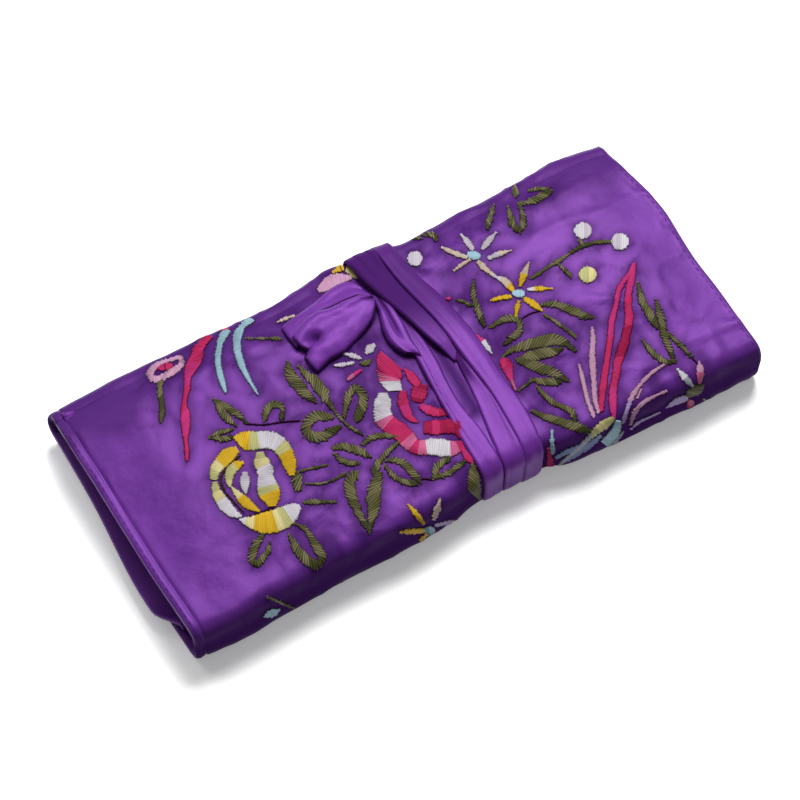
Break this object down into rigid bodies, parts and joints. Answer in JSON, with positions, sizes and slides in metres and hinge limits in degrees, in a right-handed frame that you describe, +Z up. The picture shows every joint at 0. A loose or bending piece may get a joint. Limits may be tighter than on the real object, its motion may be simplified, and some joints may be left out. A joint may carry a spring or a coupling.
{
  "type": "jewelry roll",
  "caption": "Padded satin jewelry roll in three folding panels, tied with a wound strap; zip pockets, a slip pocket and a ring bar inside.",
  "frame": {"origin": "centre of the closed roll's footprint, on the surface it lies on", "axes": "+X along the roll's length, +Y to its back fold, +Z up"},
  "size_m": [0.2, 0.094, 0.0233],
  "materials": {
    "satin": "lustrous satin with embroidery",
    "strap_satin": "lustrous satin",
    "lining": "plain satin",
    "padding": "matte wadding",
    "zip_tape": "matte woven tape",
    "touch_fastener": "matte hook and loop",
    "coil": "semi-gloss",
    "zip_metal": "polished"
  },
  "bodies": {
    "outer_flap": {"outer_flap_shell": "satin", "outer_flap_padding": "padding", "outer_pocket_back": "lining", "outer_flap_lining": "lining", "outer_zip_teeth_front": "coil", "outer_zip_teeth_back": "coil", "outer_zip_tape_front": "zip_tape", "outer_zip_tape_back": "zip_tape", "outer_zip_top_stop_front": "zip_metal", "outer_zip_top_stop_back": "zip_metal", "outer_zip_bottom_stop": "zip_metal", "front_fold": "satin", "tie_winding": "strap_satin", "tie_tail": "strap_satin", "tie_loose_end": "strap_satin"},
    "middle_panel": {"middle_shell": "satin", "middle_padding": "padding", "middle_pocket_back": "lining", "middle_lining": "lining", "middle_zip_teeth_front": "coil", "middle_zip_teeth_back": "coil", "middle_zip_tape_front": "zip_tape", "middle_zip_tape_back": "zip_tape", "middle_zip_top_stop_front": "zip_metal", "middle_zip_top_stop_back": "zip_metal", "middle_zip_bottom_stop": "zip_metal", "back_fold": "satin", "ring_bar_tab": "lining", "ring_bar_loop_pad": "touch_fastener"},
    "inner_flap": {"inner_flap_shell": "satin", "inner_flap_padding": "padding", "inner_flap_lining": "lining", "inner_slip_pocket": "lining"},
    "outer_slider": {"outer_zip_slider": "zip_metal"},
    "outer_pull": {"outer_zip_pull": "zip_metal"},
    "middle_slider": {"middle_zip_slider": "zip_metal"},
    "middle_pull": {"middle_zip_pull": "zip_metal"},
    "ring_bar": {"ring_bar": "lining", "ring_bar_hook_pad": "touch_fastener"}
  },
  "joints": [
    {"name": "unroll", "type": "hinge", "parent": "outer_flap", "child": "middle_panel", "pos_m": [0, -0.047, 0.0101], "axis": [1, 0, 0], "range_deg": [0, 180], "deforming": ["front_fold", "tie_winding", "tie_tail", "tie_loose_end"]},
    {"name": "inner_fold", "type": "hinge", "parent": "middle_panel", "child": "inner_flap", "pos_m": [0, 0.047, 0.0132], "axis": [1, 0, 0], "range_deg": [0, 180], "deforming": ["back_fold", "inner_flap_shell", "inner_flap_padding", "inner_flap_lining", "inner_slip_pocket"]},
    {"name": "outer_zip_slide", "type": "slide", "parent": "outer_flap", "child": "outer_slider", "axis": [-1, 0, 0], "range_m": [0, 0.122], "deforming": ["outer_zip_teeth_front", "outer_zip_teeth_back"]},
    {"name": "outer_pull_tilt", "type": "hinge", "parent": "outer_slider", "child": "outer_pull", "pos_m": [0.0625, 0.004, 0.00584], "axis": [0, 1, 0], "range_deg": [0, 8]},
    {"name": "middle_zip_slide", "type": "slide", "parent": "middle_panel", "child": "middle_slider", "axis": [-1, 0, 0], "range_m": [0, 0.122], "deforming": ["middle_zip_teeth_front", "middle_zip_teeth_back"]},
    {"name": "middle_pull_tilt", "type": "hinge", "parent": "middle_slider", "child": "middle_pull", "pos_m": [0.0625, -0.03, 0.0139], "axis": [0, -1, 0], "range_deg": [0, 20]},
    {"name": "ring_bar_swing", "type": "hinge", "parent": "middle_panel", "child": "ring_bar", "pos_m": [-0.066, 0.028, 0.0126], "axis": [0, 0, -1], "range_deg": [0, 17]}
  ],
  "couplings": [
    {"joint": "inner_fold", "follows": "unroll", "ratio": 1}
  ]
}
